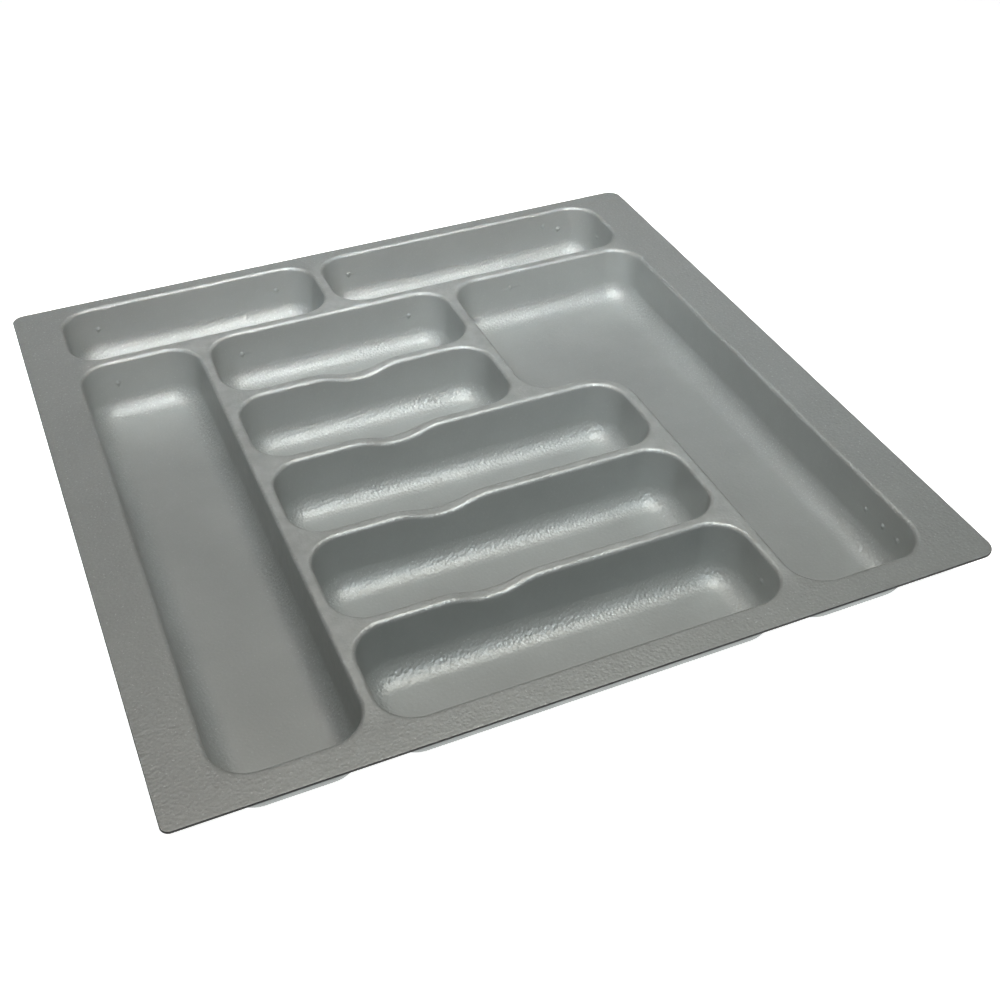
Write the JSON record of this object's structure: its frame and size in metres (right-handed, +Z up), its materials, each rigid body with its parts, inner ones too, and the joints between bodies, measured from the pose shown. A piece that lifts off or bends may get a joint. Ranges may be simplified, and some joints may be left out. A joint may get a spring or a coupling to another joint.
{
  "type": "cutlery tray",
  "caption": "Vacuum-formed drawer tray with a flat trimmed rim, rounded wells for cutlery and kitchen tools, a stepped side well and finger dips between the cutlery wells.",
  "frame": {"origin": "under the middle of the tray, on the plane that the well floors stand on", "axes": "+X to the right of the drawer, +Y to its back, +Z up"},
  "size_m": [0.495, 0.49, 0.042],
  "materials": {
    "sheet": "silver-grey, fine leather grain, satin"
  },
  "bodies": {
    "root": {"rim": "sheet", "back_left_well": "sheet", "back_right_well": "sheet", "side_well": "sheet", "short_cutlery_well_1": "sheet", "short_cutlery_well_2": "sheet", "long_cutlery_well_1": "sheet", "long_cutlery_well_2": "sheet", "long_cutlery_well_3": "sheet", "stepped_well": "sheet"}
  },
  "joints": []
}
